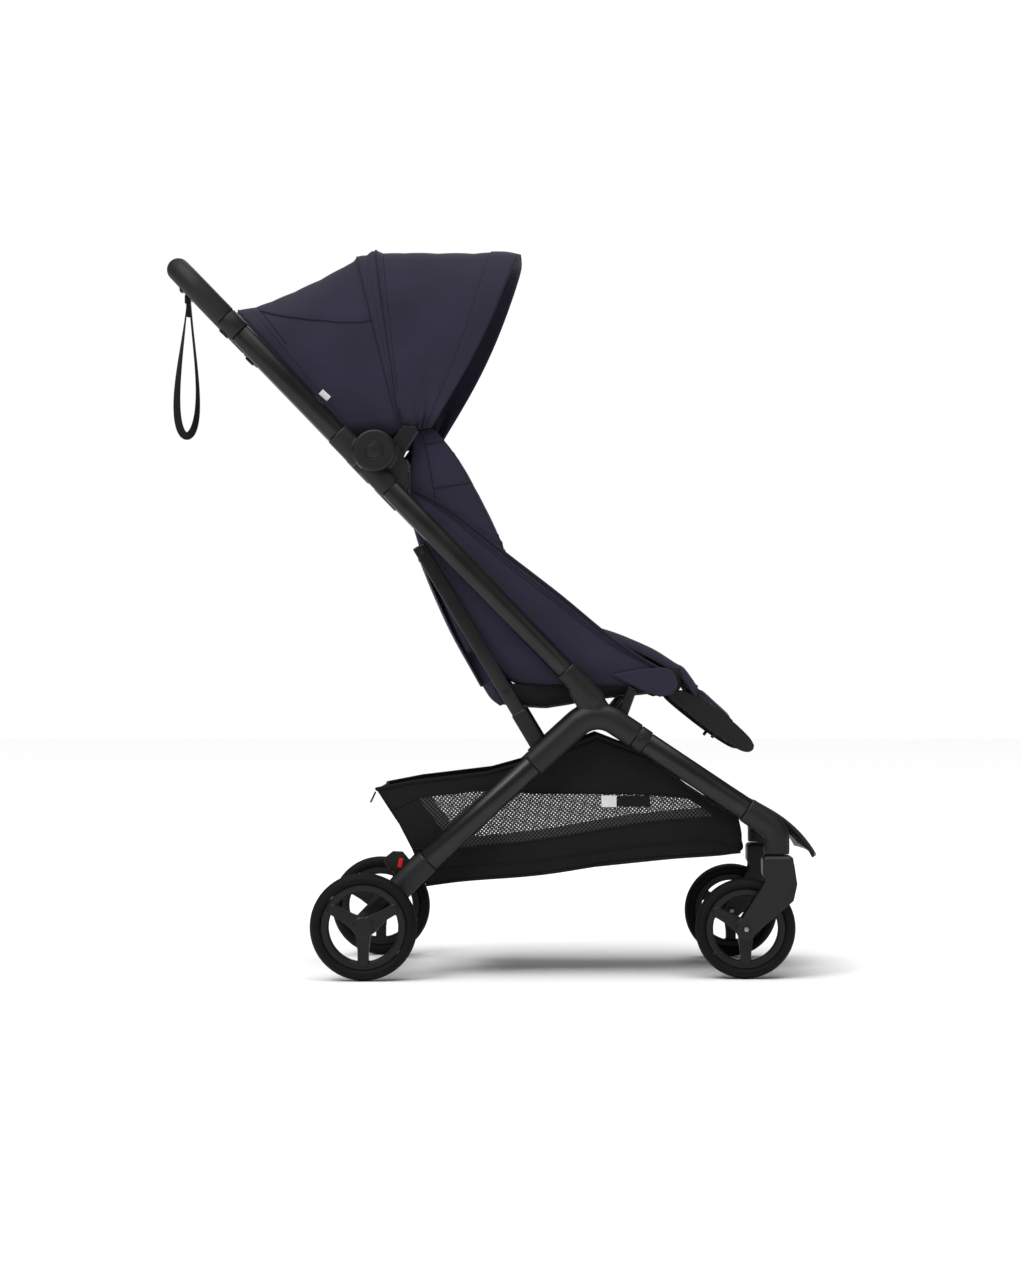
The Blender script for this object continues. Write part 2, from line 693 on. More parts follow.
def tyre(radius, width, at, y):
    """A foam tyre: rounded shoulders, two fine grooves and a lip against the rim."""
    inner = radius * RIM_SHARE
    half = width / 2
    shoulder = width * 0.34
    flank = [(inner, half * 0.7), (inner + 0.0012, half * 0.8),
             (radius - shoulder - 0.002, half * 0.985), (radius - shoulder, half)]
    profile = [(r, -o) for r, o in flank]
    for i in range(1, 24):
        angle = math.pi * i / 24
        out = radius - shoulder + shoulder * math.sin(angle)
        if i in (8, 16):
            out -= 0.0006
        profile.append((out, -half * math.cos(angle)))
    return paint(lathe(profile + flank[::-1], at, y, 120), TYRE)


def rim(radius, width, at, y, s):
    """A rim with three broad spokes that end in round tabs over the rim, and a hub."""
    outer, inner = radius * RIM_SHARE - GAP, radius * 0.645
    half = width / 2
    hoop = lathe([(outer, -half * 0.66), (outer, half * 0.66), (inner + 0.002, half * 0.62),
                  (inner, half * 0.4), (inner, -half * 0.4), (inner + 0.002, -half * 0.62)],
                 at, y, 120)
    parts = [hoop, disc(0.015, at, y - half * 0.92, y + half * 0.92, 0.002)]
    tip = inner + (outer - inner) * 0.45 - 0.006
    side = [(0.0, 0.0125), (0.018, 0.01), (0.034, 0.008), (tip, 0.0078)]
    end = [round_about((tip, 0.0), 0.0078, math.pi / 2 - math.pi * i / 8) for i in range(9)]
    shape = side + end + [(out, -wide) for out, wide in side[::-1]]
    for turn in SPOKES:
        a = math.radians(turn)
        d, n = (math.cos(a), -math.sin(a)), (math.sin(a), math.cos(a))
        outline = [(at[0] + d[0] * out + n[0] * wide, at[1] + d[1] * out + n[1] * wide)
                   for out, wide in shape]
        parts.append(slab(outline, y - s * half * 0.35, y + s * half * 0.78))
    return paint(cast(parts, 0.0011, 3), PLASTIC_DARK)


def wheels():
    for side, s in SIDES:
        for end, radius, tread, axle, y in (
                ("rear", REAR_R, REAR_TREAD, REAR_AXLE, s * REAR_WHEEL_Y),
                ("front", FRONT_R, FRONT_TREAD, FRONT_AXLE, s * SIDE_Y)):
            body = f"{end}_wheel_{side}"
            place(f"{end}_tyre_ring_{side}", tyre(radius, tread, axle, y), body,
                  f"{end}_tyre_{side}")
            place(f"{end}_rim_{side}", rim(radius, tread, axle, y, s), body, body)


def forks():
    top = SWIVEL_Z - 0.0015
    outline = [(0.3915, top - 0.01), (0.434, top - 0.01), (0.4388, 0.138), (0.4335, 0.114)]
    outline += [round_about(FRONT_AXLE, 0.0135, math.radians(-50.0 - 15.0 * i)) for i in range(13)]
    outline.append((0.392, 0.141))
    for side, s in SIDES:
        y = s * SIDE_Y
        arms = [slab(outline, y + a, y + a + 0.0082) for a in (-0.0237, 0.0155)]
        crown = brick((0.045, 0.047, 0.031), (SWIVEL_X + 0.001, y, top - 0.0155), 0.0, 0.006)
        pieces = [paint(cast([crown, *arms], 0.0011, 5), PLASTIC)]
        for out in (y - 0.0249, y + 0.0237):
            washer = disc(0.0068, FRONT_AXLE, out, out + 0.0012, 0.0004)
            bolt = disc(0.0036, FRONT_AXLE, out - 0.0004, out + 0.0016, 0.0005, 6)
            pin = disc(0.002, (0.431, 0.129), out, out + 0.0012, 0.0004)
            pieces += [paint(washer, PLASTIC_DARK), paint(bolt, STEEL), paint(pin, PLASTIC_DARK)]
        place(f"fork_casting_{side}", pieces, f"caster_{side}", f"caster_fork_{side}",
              f"front_axle_pin_{side}")


def front_apron():
    """The arched front crossbar: a smooth outer skin with ribs inside."""
    arc = np.array((0.372, 0.256)), np.array((0.443, 0.229)), np.array((0.4745, 0.1752))
    rows = []
    for t in np.arange(25) / 24:
        p = curve_between(*arc, t)
        rows.append([(p[0] - 0.01 * abs(v) ** 3 * t, v * 0.1625, p[1])
                     for v in np.linspace(-1, 1, 41)])
    pieces = [paint(thicken(grid(rows), 0.0045, 0.2), PLASTIC)]
    outline = [curve_between(*arc, 0.12 + 0.8 * i / 8) - 0.001 for i in range(9)]
    inner = [(x - 0.007 * (1 - 0.7 * k / 8), z - 0.009 * (1 - 0.7 * k / 8))
             for k, (x, z) in enumerate(outline)]
    for y in np.linspace(-0.9, 0.9, 13) * 0.155:
        pieces.append(paint(slab(outline + inner[::-1], y - 0.001, y + 0.001), PLASTIC_DARK))
    place("front_crossbar_shell", pieces, "front_legs", "front_apron")


def brake():
    """The foot pedal, with a red mark that shows when it is engaged."""
    outline = [(-0.161, 0.119), (-0.144, 0.119), (-0.128, 0.144), (-0.117, 0.155), (-0.122, 0.168),
               (-0.134, 0.182), (-0.148, 0.183), (-0.161, 0.173), (-0.159, 0.162), (-0.146, 0.152)]
    hub = disc(0.0075, (-0.152, 0.128), -0.164, -0.137)
    arm = cast([slab(outline, -0.149, -0.137), hub], 0.001, 4)
    mark = brick((0.006, 0.0012, 0.014), (-0.137, -0.1494, 0.166), 12.0, 0.0005)
    place("brake_pedal_blade", [paint(arm, PLASTIC_DARK), paint(mark, RED)], "brake",
          "brake_pedal")


# ---------------------------------------------------------------- soft goods


def shifted(points, x, y, z):
    return [Vector(p) + Vector((x, y, z)) for p in points]


def piping(points, radius=0.0013):
    return paint(sweep(points, radius, 1.0, 8, 0.0002), NAVY_DARK)


def canopy_length(angle):
    """The canopy's height over its pivot by angle, with ridges at its bows and a sag between."""
    keys = ((58.5, 0.331), (62.0, 0.3245), (70.0, 0.303), (80.0, 0.29), (90.0, 0.2855),
            (96.5, 0.2868), (98.3, 0.2925), (99.8, 0.2922), (101.3, 0.2875), (102.6, 0.289),
            (104.0, 0.289), (105.6, 0.283), (109.0, 0.2795), (117.0, 0.2755), (126.0, 0.2795),
            (133.0, 0.289), (136.5, 0.2975), (137.3, 0.2985), (141.5, 0.3175), (144.0, 0.305))
    return float(np.interp(angle, *zip(*keys)))


def canopy_point(angle, turn, lift=0.0):
    """A point of the canopy: turn runs from 0 at its left lower edge over the top to 1."""
    front, rear = max(0.0, (98.0 - angle) / 39.5), max(0.0, (angle - 103.5) / 37.5)
    foot = (CANOPY_PIVOT[0] + 0.038 * front - 0.05 * rear,
            CANOPY_PIVOT[1] + 0.008 * front - 0.018 * rear)
    top = round_about(CANOPY_PIVOT, canopy_length(angle) + lift, math.radians(angle))
    t = math.pi * turn
    up = max(math.sin(t), 0.0)
    hollow = math.exp(-((angle - 80.0) / 9.0) ** 2) + 0.8 * math.exp(-((angle - 119.0) / 10.0) ** 2)
    half = CANOPY_HALF + 0.0008 + lift
    across = half * abs(math.cos(t)) ** (0.46 - 0.08 * rear) - 0.007 * hollow * up**1.5
    out = up ** (0.5 - 0.12 * rear)
    brim = 0.009 * front * math.sin(math.pi * min(out, 1.0)) ** 1.2  # its wire bows forward
    return (foot[0] + (top[0] - foot[0]) * out + brim, math.copysign(max(across, 0.0), math.cos(t)),
            foot[1] + (top[1] - foot[1]) * out - brim * 0.4)


def turns(count):
    """Where the points of an arch are: close together where it bends."""
    even = np.linspace(0.0, 1.0, count)
    return 0.0004 + 0.9992 * (even - 0.11 * np.sin(2 * math.pi * even))


def canopy_sheet(low, high, count):
    rows = [[canopy_point(a, t) for t in turns(73)] for a in np.linspace(low, high, count)]
    return thicken(grid(rows), CLOTH)


def arch(angle, lift=0.0012):
    return [canopy_point(angle, t, lift) for t in turns(90)]


def side_seam(keys, side, lift, radius):
    """A seam on the canopy's side, through (angle, share of the height) points."""
    return piping([canopy_point(angle, turn if side > 0 else 1 - turn, lift)
                   for angle, turn in smooth_path(keys, 40)], radius)


def wrinkles(thing, side, at, reach, depth, waves):
    """Fine folds that gather towards a point on the cloth's side."""
    for v in thing.data.vertices:
        if v.co.y * side < 0.08:
            continue
        dx, dz = v.co.x - at[0], v.co.z - at[1]
        near = math.exp(-(math.hypot(dx, dz) / reach) ** 2)
        v.co.y += side * depth * near * math.sin(waves * math.atan2(dz, dx))


def canopy_front():
    sheet = canopy_sheet(58.8, 98.5, 60)
    for side in (1.0, -1.0):
        wrinkles(sheet, side, (-0.1, 0.786), 0.06, 0.0042, 15.0)
    hem = canopy_sheet(58.5, 65.5, 10)
    for v in hem.data.vertices:
        v.co += Vector((0.0, v.co.y * 6.0, max(v.co.z - 0.94, 0.0) * 8.0)).normalized() * 0.0014
    seams = [piping(arch(58.8)), piping(arch(65.6)), piping(arch(96.2, 0.0004), 0.001)]
    made = whole("canopy_hood_front", [paint(sheet, NAVY), paint(hem, NAVY), *seams])
    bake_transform(made)
    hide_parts("canopy_front")


def canopy_rear():
    pieces = [paint(canopy_sheet(98.3, 144.0, 66), NAVY)]
    for angle, lift, radius in ((98.4, 0.0012, 0.0013), (104.2, 0.0012, 0.0013),
                                (101.2, 0.0004, 0.0009), (141.2, 0.0006, 0.0015),
                                (138.6, 0.0006, 0.0008)):
        pieces.append(piping(arch(angle, lift), radius))
    for side in (1.0, -1.0):
        keys = ((137.2, 0.33), (134.0, 0.262), (128.0, 0.205), (120.0, 0.165), (112.0, 0.14),
                (104.4, 0.128))
        pieces.append(side_seam(keys, side, 0.0012, 0.0014))
        keys = ((138.6, 0.335), (134.5, 0.258), (128.3, 0.2), (120.0, 0.16), (112.0, 0.135),
                (104.4, 0.123))
        pieces.append(side_seam(keys, side, 0.0004, 0.0007))
    pieces.append(piping(arch(137.0, 0.0006)[22:-22], 0.0012))
    rows = []
    for x, z, half in ((-0.128, 0.756, 0.136), (-0.15, 0.758, 0.142), (-0.178, 0.77, 0.148)):
        rows.append([(x, half * g, z - 0.003 * (1 - g * g)) for g in np.linspace(1, -1, 24)])
    for f in np.linspace(0.1, 0.995, 30):  # the panel that closes the back between the tubes
        turn = math.asin(f ** (1 / 0.38)) / math.pi
        left, right = (Vector(canopy_point(140.6, t, -0.004)) for t in (turn, 1 - turn))
        sag = Vector((0.0, 0.0, -0.004 * math.sin(math.pi * f)))
        rows.append([left.lerp(right, g) + sag * math.sin(math.pi * g)
                     for g in np.linspace(0, 1, 24)])
    pieces += [paint(thicken(grid(rows), 0.0012), NAVY), piping(rows[0], 0.0016),
               piping(rows[15], 0.0009)]
    x, _, z = canopy_point(138.0, 0.9755)
    pieces.append(paint(brick((0.016, 0.0012, 0.009), (x, -CANOPY_HALF - 0.002, z), 42.0, 0.0004),
                        TAG))
    made = place("canopy_hood_rear", pieces, "frame", "canopy_rear")


def bows():
    reach = CANOPY_HALF - 0.0057
    for name, angle, length, body in (("front", 62.0, 0.3083, "canopy"),
                                      ("rear", 103.5, 0.2713, "frame")):
        path = []
        for t in turns(80):
            up, cos = math.sin(math.pi * t) ** 0.55, math.cos(math.pi * t)
            x, z = round_about(CANOPY_PIVOT, length * up, math.radians(angle))
            path.append((x, reach * math.copysign(abs(cos) ** 0.55, cos), z))
        place(f"bow_{name}", paint(sweep(path, 0.003, 1.0, 12), METAL), body, f"canopy_bow_{name}")


def clips():
    """The black panel beside each fold hinge, where the canopy's bows and the back meet."""
    outline = [(-0.158, 0.766), (-0.146, 0.785), (-0.133, 0.8035), (-0.113, 0.8025),
               (-0.1105, 0.794), (-0.129, 0.766), (-0.14, 0.742), (-0.152, 0.735)]
    for side, s in SIDES:
        panel = cast([slab(outline, s * 0.1604, s * 0.164)], 0.001, 4)
        edge = at_y([(-0.1105, 0.795), (-0.128, 0.768), (-0.14, 0.744)], s * 0.164)
        hem = paint(sweep(edge, 0.0016, 1.0, 8, 0.0002), NAVY)
        place(f"canopy_clip_{side}", [paint(panel, PLASTIC_DARK), hem], "frame")


def seat_sides():
    """The cloth sides of the seat, from the rolled upper edge down to the base."""
    upper = smooth_path([(-0.123, 0.714), (-0.066, 0.6815), (0.019, 0.6155), (0.096, 0.556),
                         (0.168, 0.4965), (0.216, 0.464), (0.262, 0.438)], 70)
    lower = smooth_path([(-0.112, 0.655), (-0.085, 0.6), (-0.034, 0.502), (0.018, 0.437),
                         (0.06, 0.4205), (0.118, 0.4175), (0.19, 0.4185), (0.252, 0.4205)], 70)
    for side, s in SIDES:
        rows = []
        for f, high, low in zip(np.linspace(0, 1, 70), upper, lower):
            row = []
            for v in np.linspace(0, 1, 26):
                x, z = high * (1 - v) + low * v
                swell = math.sin(math.pi * v)
                belly = 0.0062 * swell * math.sin(math.pi * min(1.0, f * 1.15))
                wave = 0.0012 * math.sin(9.0 * f + 4.0 * v) * swell
                tuck = 0.01 * max(0.0, v - 0.82) / 0.18
                row.append((x, s * (0.1475 + belly + wave - tuck), z))
            rows.append(row)
        pieces = [paint(thicken(grid(rows), 0.0026), NAVY)]
        for j, f, radius in ((0, 0.0, 0.0026), (1, 0.375, 0.0009), (2, 0.125, 0.0009)):
            path = [Vector(r[j]).lerp(Vector(r[j + 1]), f) for r in rows]
            pieces.append(piping(shifted(path, 0.0, s * 0.0013, 0.0), radius))
        made = place(f"seat_wall_{side}", pieces, "frame", f"seat_side_{side}")


def back_at(share, push=0.0):
    """A point on the backrest's middle line, pushed forward, and the direction forward."""
    tilt = math.atan2(BACK_TOP[0] - RECLINE[0], BACK_TOP[1] - RECLINE[1])
    base = np.array(RECLINE) * (1 - share) + np.array(BACK_TOP) * share
    normal = np.array((math.cos(tilt), -math.sin(tilt)))
    return base + normal * push, normal


def wing_reach(share):
    """How far the backrest's sides come forward at each level."""
    return float(np.interp(share, (0.0, 0.35, 0.474, 0.647, 0.776, 0.863, 0.97, 1.03),
                           (0.046, 0.053, 0.054, 0.047, 0.042, 0.038, 0.023, 0.005)))


def backrest():
    """A padded back with side wings that wrap forward, sewn across in three places."""
    rows = []
    for share in np.linspace(0.02, 1.02, 30):
        centre, normal = back_at(share)
        width = 0.139 - 0.004 * max(0.0, share - 0.9) / 0.1
        inner, outer = [], []
        for v in np.linspace(-1, 1, 37):
            lip = max(0.0, abs(v) - 0.7) / 0.3
            forward = wing_reach(share) * lip**1.5
            pad = 0.013 * (1 - abs(v) ** 6) * (1 - 0.25 * abs(math.sin(3 * math.pi * share)) ** 6)
            front = centre + normal * (forward + pad)
            rear = centre + normal * (forward * 0.92 - 0.012 * (1 - abs(v) ** 8))
            inner.append((front[0], v * width * (1 - 0.06 * lip), front[1]))
            outer.append((rear[0], v * width, rear[1]))
        rows.append(inner + outer[::-1])
    pieces = [paint(puff(grid(rows, around=True, caps=True), 3.0, 0.006, 0.0055), NAVY)]
    for share in (0.36, 0.66, 0.86):
        for s in (1.0, -1.0):
            path = []
            for f in np.linspace(0.35, 0.985, 16):
                lip = max(0.0, f - 0.7) / 0.3
                x, z = back_at(share, wing_reach(share) * lip**1.5 + 0.0165)[0]
                path.append((x, s * f * 0.137, z))
            pieces.append(piping(path, 0.0012))
    place("back_cushion", pieces, "backrest", "backrest_pad")


def gussets():
    """The cloth that joins the wings to the cloth back on each side."""
    back = ((0.47, 0.505, 0.56, 0.608, 0.648, 0.69, 0.745, 0.8),
            (-0.038, -0.056, -0.08, -0.098, -0.113, -0.122, -0.122, -0.117))
    for side, s in SIDES:
        rows = []
        for share in np.linspace(0.04, 1.0, 26):
            at, normal = back_at(share)
            rear = np.array((float(np.interp(at[1], *back)), at[1]))
            front = at + normal * wing_reach(share) * 0.8
            row = []
            for f in np.linspace(0, 1, 14):
                x, z = rear * (1 - f) + front * f
                row.append((x, s * (0.1405 + 0.002 * math.sin(math.pi * f)), z))
            rows.append(row)
        pieces = [paint(thicken(grid(rows), 0.0018), NAVY)]
        for path, radius in (([r[5] for r in rows], 0.0011), (rows[18][5:], 0.0012),
                             (rows[23][5:], 0.0009)):
            pieces.append(piping(shifted(path, 0.0, s * 0.001, 0.0), radius))
        made = place(f"back_gusset_{side}", pieces, "backrest")


def back_panel():
    """The cloth back with its flap pocket, which hangs behind the cushion."""
    line = smooth_path([(-0.125, 0.745), (-0.125, 0.69), (-0.115, 0.648), (-0.101, 0.608),
                        (-0.083, 0.562), (-0.058, 0.505), (-0.031, 0.453), (-0.008, 0.411),
                        (0.008, 0.396)], 48)
    rows, flap = [], []
    for i, p in enumerate(line):
        f = i / (len(line) - 1)
        bow = math.sin(math.pi * f)
        row = []
        for v in np.linspace(-1, 1, 33):
            curl = 0.03 * max(0.0, abs(v) - 0.86) / 0.14
            row.append((p[0] - 0.004 * (1 - v * v) * bow + curl * (1 - 0.4 * f), v * 0.141,
                        p[1] + curl * 0.2))
        rows.append(row)
        if 17 <= i < 40:
            lift = 0.006 - 0.003 * (i - 17) / 22
            flap.append([(p[0] - lift - (0.004 * bow + 0.002) * (1 - v * v), v * 0.1385,
                          p[1] + 0.006 * abs(v) ** 3 * (i == 17)) for v in np.linspace(-1, 1, 33)])
    pieces = [paint(thicken(grid(rows), CLOTH), NAVY), paint(thicken(grid(flap), 0.0016), NAVY),
              piping(shifted(flap[0], -0.001, 0.0, 0.0), 0.0014)]
    made = place("back_cloth", pieces, "backrest")


def seat_base():
    slope, z = 4.0, 0.4345
    pad = brick((0.222, 0.276, 0.026), (0.161, 0.0, z), -slope, 0.01, 3)
    pieces = [paint(puff(pad, 3.5, 0.006), NAVY)]
    for y in (-0.045, 0.045):
        pieces.append(piping([(x, y, z + 0.016 + (x - 0.161) * math.tan(math.radians(slope)))
                              for x in np.linspace(0.065, 0.255, 12)], 0.0012))
    place("seat_cushion", pieces, "frame", "seat_pad")
    profile = ((0.0, 0.012, 0.04, 0.0744, 0.11, 0.14, 0.18, 0.23, 0.272),
               (0.421, 0.402, 0.3985, 0.3965, 0.402, 0.4085, 0.413, 0.418, 0.423))
    rows = []
    for x in np.linspace(0.0, 0.272, 44):
        z = float(np.interp(x, *profile))
        row = []
        for v in np.linspace(-1, 1, 41):
            edge = max(0.0, abs(v) - 0.88) / 0.12
            row.append((x, math.copysign(min(abs(v) / 0.9, 1.0), v) * 0.1455,
                        z - 0.005 * (1 - v * v) + 0.028 * edge**1.6))
        rows.append(row)
    sling = place("seat_sling", paint(thicken(grid(rows), 0.0018), BLACK_CLOTH), "frame")


def harness():
    tilt = math.degrees(math.atan2(BACK_TOP[0] - RECLINE[0], BACK_TOP[1] - RECLINE[1]))
    for side, s in SIDES:
        y = s * 0.055
        rows = []
        for share in np.linspace(0.12, 0.84, 26):
            x, z = back_at(share, 0.0222)[0]
            rows.append([(x, y + w, z) for w in (-0.013, 0.0, 0.013)])
        pieces = [paint(thicken(grid(rows), 0.0016), WEBBING)]
        for share, size, bevel, material in ((0.58, (0.007, 0.04, 0.12), 0.003, NAVY),
                                             (0.3, (0.005, 0.034, 0.022), 0.0015, PLASTIC_DARK)):
            x, z = back_at(share, 0.0245)[0]
            pieces.append(paint(brick(size, (x, y, z), tilt, bevel), material))
        place(f"shoulder_belt_{side}", pieces, "backrest", f"harness_strap_{side}")
    for side, s in SIDES:
        path = smooth_path([(0.178, s * 0.02, 0.4745), (0.16, s * 0.06, 0.47),
                            (0.12, s * 0.105, 0.48), (0.085, s * 0.132, 0.498)], 24)
        rows = [[p + np.array((w * 0.5, 0.0, w)) for w in (-0.011, 0.0, 0.011)] for p in path]
        belt = place(f"lap_belt_{side}", paint(thicken(grid(rows), 0.0016), WEBBING), "frame")
    pieces = []
    for size, x, z, bevel, material in (((0.02, 0.043, 0.038), 0.18, 0.476, 0.006, PLASTIC),
                                        ((0.006, 0.02, 0.018), 0.1895, 0.4775, 0.0025,
                                         PLASTIC_DARK),
                                        ((0.006, 0.026, 0.03), 0.178, 0.46, 0.002, WEBBING)):
        pieces.append(paint(brick(size, (x, 0.0, z), -10.0, bevel), material))
    place("harness_clasp", pieces, "frame", "harness_buckle")


def leg_rest():
    """A ribbed board that swells below and ends in a round bar, with a cloth pad over it."""
    d = unit(LEG_REST_PIVOT, LEG_REST_TIP)
    slope = math.degrees(math.atan2(-d[1], d[0]))
    length = math.dist(LEG_REST_PIVOT, LEG_REST_TIP) + 0.005

    def spot(reach, lift):
        return (LEG_REST_PIVOT[0] + d[0] * reach - d[1] * lift,
                LEG_REST_PIVOT[1] + d[1] * reach + d[0] * lift)

    def block(size, reach, lift, y, bevel, turn=0.0, segments=4):
        x, z = spot(reach, lift)
        return brick(size, (x, y, z), slope + turn, bevel, segments)

    flank = smooth_path([spot(*p) for p in (
        (0.0, 0.01), (0.02, 0.0145), (0.05, 0.0165), (0.082, 0.016), (length - 0.012, 0.0105),
        (length, 0.0), (length - 0.01, -0.011), (0.09, -0.015), (0.04, -0.0152), (-0.012, -0.011),
        (-0.012, 0.001), (0.0, 0.01))], 90)[:-1]
    parts = [slab(flank, s * 0.1215, s * 0.13) for s in (1.0, -1.0)]
    parts.append(block((length - 0.012, 0.246, 0.006), length / 2, 0.001, 0.0, 0.0025))
    parts.append(disc(0.0084, spot(length - 0.0084, 0.0), -0.13, 0.13, 0.004))
    pieces = [paint(cast(parts, VOXEL, 5), PLASTIC_DARK)]
    for s in (1.0, -1.0):
        for reach, lift in ((0.056, -0.006), (0.066, -0.001), (0.084, -0.007), (0.094, -0.003),
                            (0.108, -0.003)):
            stud = disc(0.0024, spot(reach, lift), s * 0.129, s * 0.1312, 0.0005)
            pieces.append(paint(stud, PLASTIC))
        stop = block((0.0045, 0.01, 0.008), 0.074, -0.018, s * 0.12, 0.001)
        pieces.append(paint(stop, PLASTIC))
    for i in range(9):
        rib = block((length * 0.8, 0.003, 0.006), length * 0.55, -0.0035, -0.1 + 0.025 * i, 0.001)
        pieces.append(paint(rib, PLASTIC_DARK))
    place("leg_rest_tray", pieces, "leg_rest", "leg_rest_board")
    pad = block((0.08, 0.258, 0.012), 0.049, 0.013, 0.0, 0.005, 6.0, 3)
    pieces = [paint(puff(pad, 3.0, 0.005), NAVY)]
    for y in (0.1235, -0.1235):
        edge = [spot(r, 0.025 - 0.11 * r) for r in np.linspace(0.014, 0.084, 12)]
        pieces.append(piping(at_y(edge, y), 0.0011))
    place("leg_rest_cushion", pieces, "leg_rest", "leg_rest_pad")


def seat_front():
    """The cloth that runs over the cushion and the seat's front edge towards the leg rest."""
    top = smooth_path([(0.13, 0.515), (0.172, 0.503), (0.205, 0.49), (0.236, 0.4755),
                       (0.264, 0.4575), (0.2765, 0.4505), (0.2885, 0.435), (0.296, 0.4235)], 36)
    rows = []
    for f, p in zip(np.linspace(0, 1, 36), top):
        row = []
        for v in np.linspace(-1, 1, 41):
            edge = max(0.0, abs(v) - 0.9) / 0.1
            dip = (0.026 * (1 - f) ** 1.5 + 0.004) * max(0.0, 1 - (v / 0.8) ** 2)
            row.append((p[0] - 0.002 * edge, v * (0.144 - 0.004 * f),
                        p[1] - dip - 0.014 * edge**2))
        rows.append(row)
    hem = piping(shifted(rows[-1], 0.001, 0.0, 0.001), 0.0018)
    made = place("seat_lip", [paint(thicken(grid(rows), 0.003), NAVY), hem], "frame")


def seat_corners():
    outline = [(0.1689, 0.4406), (0.2128, 0.4493), (0.25, 0.4508), (0.264, 0.44),
               (0.268, 0.425), (0.26, 0.4125), (0.242, 0.408), (0.2173, 0.4165)]
    shape = [outline[0], *[tuple(p) for p in smooth_path(outline[1:-1], 40)], outline[-1]]
    link = [(0.178, 0.38), (0.193, 0.376), (0.208, 0.418), (0.196, 0.424)]
    for side, s in SIDES:
        flap = paint(cast([slab(shape, s * 0.1512, s * 0.1546)]), NAVY)
        made = place(f"seat_corner_{side}", flap, "frame")
        bar = cast([slab(link, s * 0.149, s * 0.159)], VOXEL, 4)
        place(f"seat_link_{side}", paint(bar, METAL), "frame")


def interpolated(columns, share):
    """The column at a share of the way through a list of (share, points) columns."""
    at = [c[0] for c in columns]
    points = np.array([c[1] for c in columns], float)
    return np.stack([[np.interp(share, at, points[:, i, k]) for k in range(2)]
                     for i in range(points.shape[1])])


def gather(made):
    """The basket folds up between the legs as the front ones fold."""
    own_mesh(made)


def basket_sides():
    """The basket's sides with their net windows, lofted between hem lines, with a sag."""
    columns = [  # share along, then bottom, window's lower line, window's upper line, top
        (0.0, ((-0.1, 0.133), (-0.12, 0.186), (-0.15, 0.244), (-0.172, 0.274))),
        (0.1, ((-0.056, 0.1385), (-0.056, 0.186), (-0.112, 0.262), (-0.118, 0.2845))),
        (0.3, ((0.03, 0.148), (0.03, 0.196), (-0.01, 0.273), (-0.01, 0.2975))),
        (0.42, ((0.085, 0.154), (0.085, 0.2035), (0.06, 0.268), (0.075, 0.321))),
        (0.55, ((0.145, 0.1605), (0.145, 0.212), (0.14, 0.2675), (0.15, 0.352))),
        (0.7, ((0.215, 0.1675), (0.215, 0.2225), (0.215, 0.2665), (0.224, 0.323))),
        (0.82, ((0.265, 0.173), (0.275, 0.2295), (0.283, 0.261), (0.285, 0.2745))),
        (0.9, ((0.3, 0.1765), (0.316, 0.233), (0.321, 0.237), (0.318, 0.253))),
        (1.0, ((0.36, 0.1815), (0.361, 0.202), (0.36, 0.215), (0.356, 0.234))),
    ]
    counts = (10, 14, 8)  # faces below the window, in it and above it
    low, high, total = counts[0], counts[0] + counts[1], sum(counts)
    shares = np.linspace(0, 1, 81)
    for side, s in SIDES:
        rows = []
        for share in shares:
            four = interpolated(columns, share)
            column = [four[k] * (1 - i / count) + four[k + 1] * (i / count)
                      for k, count in enumerate(counts) for i in range(count)] + [four[3]]
            row = []
            for j, (x, z) in enumerate(column):
                v = j / total
                bulge = 0.0028 * math.sin(math.pi * v) * (1 + 0.5 * math.sin(14 * share + 3 * v))
                sag = 0.003 * (1 - v) ** 2 * math.sin(math.pi * share) * math.cos(9 * share)
                row.append((x, s * (BASKET_HALF + bulge), z + sag))
            rows.append(row)
        wall = paint(grid(rows), BLACK_CLOTH, NET_LEFT if s > 0 else NET_RIGHT)
        for index, face in enumerate(wall.data.polygons):
            i, j = divmod(index, total)
            if 0.1 < (shares[i] + shares[i + 1]) / 2 < 0.9 and low <= j < high:
                face.material_index = 1
        pieces = [thicken(wall, 0.0012)]
        for j, out, radius, count, end in ((0, 0.001, 0.0018, 8, 0.0002),
                                           (low, 0.001, 0.0013, 8, 0.0002),
                                           (high, 0.001, 0.0013, 8, 0.0002),
                                           (total, 0.001, 0.0024, 8, 0.0002),
                                           (4, 0.0012, 0.0009, 6, 0.0001)):
            path = shifted([r[j] for r in rows], 0.0, s * out, 0.0)
            pieces.append(paint(sweep(path, radius, 1.0, count, end), BLACK_CLOTH))
        nodes = []
        if s < 0:
            nodes = ["basket"]
            for x, size, material in ((0.1675, (0.022, 0.0012, 0.017), TAG),
                                      (0.2035, (0.048, 0.0012, 0.016), WEBBING)):
                label = brick(size, (x, -BASKET_HALF - 0.0058, 0.256), 0.0, 0.0004)
                pieces.append(paint(label, material))
        made = place(f"basket_side_{side}", pieces, "frame", *nodes)
        gather(made)


